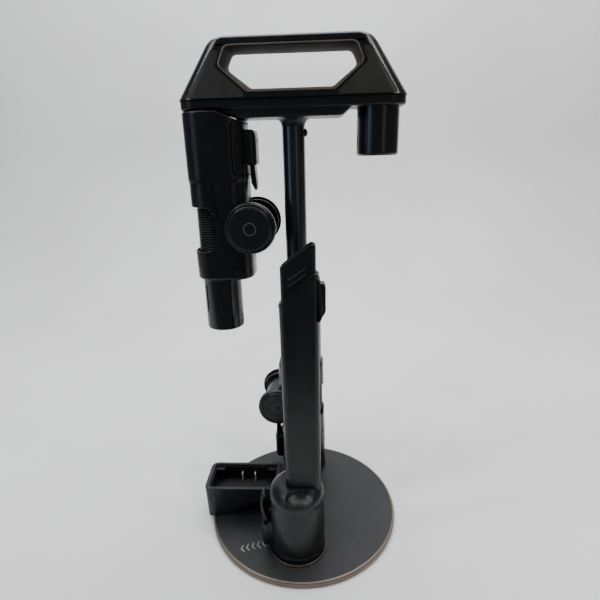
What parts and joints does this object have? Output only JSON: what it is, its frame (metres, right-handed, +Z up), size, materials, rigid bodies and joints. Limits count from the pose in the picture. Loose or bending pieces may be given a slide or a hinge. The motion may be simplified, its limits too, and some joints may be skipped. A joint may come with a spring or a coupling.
{
  "type": "cordless vacuum tool stand",
  "caption": "Round-based stand with carrying head, pegs for two folding hose tools and a crevice tool, and a battery charging dock.",
  "frame": {"origin": "on the surface the stand rests on, on the axis of the pole", "axes": "+Z up, +X along the carrying head towards the bare peg, +Y to the back"},
  "size_m": [0.245, 0.24, 0.562],
  "materials": {
    "painted_steel": "satin powder coat",
    "base_plastic": "fine matte texture with a faint sheen",
    "bronze_metal": "bronze metallic, satin",
    "rubber": "matte",
    "gloss_black": "gloss",
    "pole_metal": "gloss black-blue lacquer",
    "satin_black": "satin",
    "panel_grey": "matte, fine grain",
    "dock_plastic": "satin",
    "dock_inner": "matte",
    "contact_metal": "bright",
    "board": "printed circuit board",
    "tool_black": "satin",
    "knob_black": "satin to gloss",
    "spring_steel": "bright steel",
    "crevice_black": "fine matte"
  },
  "bodies": {
    "stand": {"base_weight": "painted_steel", "base_cover": "base_plastic", "rim_ring": "bronze_metal", "foot_pads": "rubber", "base_screws": "painted_steel", "front_post": "gloss_black", "rear_post": "gloss_black", "post_rings": "bronze_metal", "pole": "pole_metal", "snap_spring": "painted_steel", "head_shell": "satin_black", "handle_trim": "bronze_metal", "side_panel_left": "panel_grey", "side_panel_right": "panel_grey", "head_frame": "satin_black", "head_screws": "painted_steel", "peg_left": "gloss_black", "peg_right": "gloss_black", "dock_housing": "dock_plastic", "dock_tray": "dock_inner", "dock_contacts": "contact_metal", "dock_board": "board", "power_inlet": "dock_inner"},
    "snap": {"snap_button": "knob_black"},
    "left_tool_upper": {"left_tool_upper_casing": "tool_black", "left_tool_socket_sleeve": "gloss_black", "left_tool_hinge_pin": "spring_steel", "left_tool_button_bezel": "knob_black", "left_tool_button_spring": "spring_steel", "left_tool_back_cap": "knob_black", "left_tool_latch_block": "tool_black", "left_tool_latch_spring": "spring_steel"},
    "left_tool_lower": {"left_tool_lower_casing": "tool_black", "left_tool_male_tube": "gloss_black", "left_tool_bellows_hose": "rubber"},
    "left_tool_button": {"left_tool_push_button": "knob_black"},
    "left_tool_latch": {"left_tool_latch_lever": "tool_black"},
    "rear_tool_upper": {"rear_tool_upper_casing": "tool_black", "rear_tool_socket_sleeve": "gloss_black", "rear_tool_hinge_pin": "spring_steel", "rear_tool_button_bezel": "knob_black", "rear_tool_button_spring": "spring_steel", "rear_tool_back_cap": "knob_black", "rear_tool_latch_block": "tool_black", "rear_tool_latch_spring": "spring_steel"},
    "rear_tool_lower": {"rear_tool_lower_casing": "tool_black", "rear_tool_male_tube": "gloss_black", "rear_tool_bellows_hose": "rubber"},
    "rear_tool_button": {"rear_tool_push_button": "knob_black"},
    "rear_tool_latch": {"rear_tool_latch_lever": "tool_black"},
    "crevice": {"crevice_collar": "crevice_black", "crevice_blade": "crevice_black", "crevice_latch_block": "crevice_black", "crevice_latch_spring": "spring_steel"},
    "crevice_tip": {"crevice_extension": "crevice_black"},
    "crevice_button": {"crevice_release_button": "crevice_black"},
    "crevice_latch": {"crevice_latch_lever": "crevice_black"}
  },
  "joints": [
    {"name": "left_tool_lift_off", "type": "slide", "parent": "stand", "child": "left_tool_upper", "axis": [0, 0, -1], "range_m": [0, 0.06]},
    {"name": "left_tool_fold", "type": "hinge", "parent": "left_tool_upper", "child": "left_tool_lower", "pos_m": [-0.045, 0, 0.3846], "axis": [0, -1, 0], "range_deg": [0, 24], "deforming": ["left_tool_bellows_hose"]},
    {"name": "left_tool_button_press", "type": "slide", "parent": "left_tool_upper", "child": "left_tool_button", "axis": [0, 1, 0], "range_m": [0, 0.003], "stiffness_N_per_m": 500, "springref_m": -0.001, "deforming": ["left_tool_button_spring"]},
    {"name": "left_tool_latch_press", "type": "hinge", "parent": "left_tool_upper", "child": "left_tool_latch", "pos_m": [-0.04315, 0, 0.4551], "axis": [0, 1, 0], "range_deg": [0, 5], "stiffness_Nm_per_rad": 0.4, "springref_deg": -2.86, "deforming": ["left_tool_latch_spring"]},
    {"name": "rear_tool_lift_off", "type": "slide", "parent": "stand", "child": "rear_tool_upper", "axis": [0, 0, 1], "range_m": [0, 0.06]},
    {"name": "rear_tool_fold", "type": "hinge", "parent": "rear_tool_upper", "child": "rear_tool_lower", "pos_m": [-0.0355, 0.084, 0.1236], "axis": [0, -1, 0], "range_deg": [0, 90], "deforming": ["rear_tool_bellows_hose"]},
    {"name": "rear_tool_button_press", "type": "slide", "parent": "rear_tool_upper", "child": "rear_tool_button", "axis": [0, 1, 0], "range_m": [0, 0.003], "stiffness_N_per_m": 500, "springref_m": -0.001, "deforming": ["rear_tool_button_spring"]},
    {"name": "rear_tool_latch_press", "type": "hinge", "parent": "rear_tool_upper", "child": "rear_tool_latch", "pos_m": [-0.03735, 0.084, 0.0531], "axis": [0, 1, 0], "range_deg": [0, 5], "stiffness_Nm_per_rad": 0.4, "springref_deg": -2.86, "deforming": ["rear_tool_latch_spring"]},
    {"name": "crevice_lift_off", "type": "slide", "parent": "stand", "child": "crevice", "axis": [0, 0, 1], "range_m": [0, 0.06]},
    {"name": "crevice_extend", "type": "slide", "parent": "crevice", "child": "crevice_tip", "axis": [0, 0, 1], "range_m": [0, 0.09]},
    {"name": "crevice_button_press", "type": "slide", "parent": "crevice", "child": "crevice_button", "axis": [-1, 0, 0], "range_m": [0, 0.002], "stiffness_N_per_m": 500, "springref_m": -0.001},
    {"name": "crevice_latch_press", "type": "hinge", "parent": "crevice", "child": "crevice_latch", "pos_m": [-0.04035, -0.065, 0.0376], "axis": [0, 1, 0], "range_deg": [0, 3.5], "stiffness_Nm_per_rad": 0.4, "springref_deg": -2.86, "deforming": ["crevice_latch_spring"]},
    {"name": "snap_button_press", "type": "slide", "parent": "stand", "child": "snap", "axis": [-1, 0, 0], "range_m": [0, 0.0025], "stiffness_N_per_m": 600, "springref_m": -0.001, "deforming": ["snap_spring"]}
  ]
}
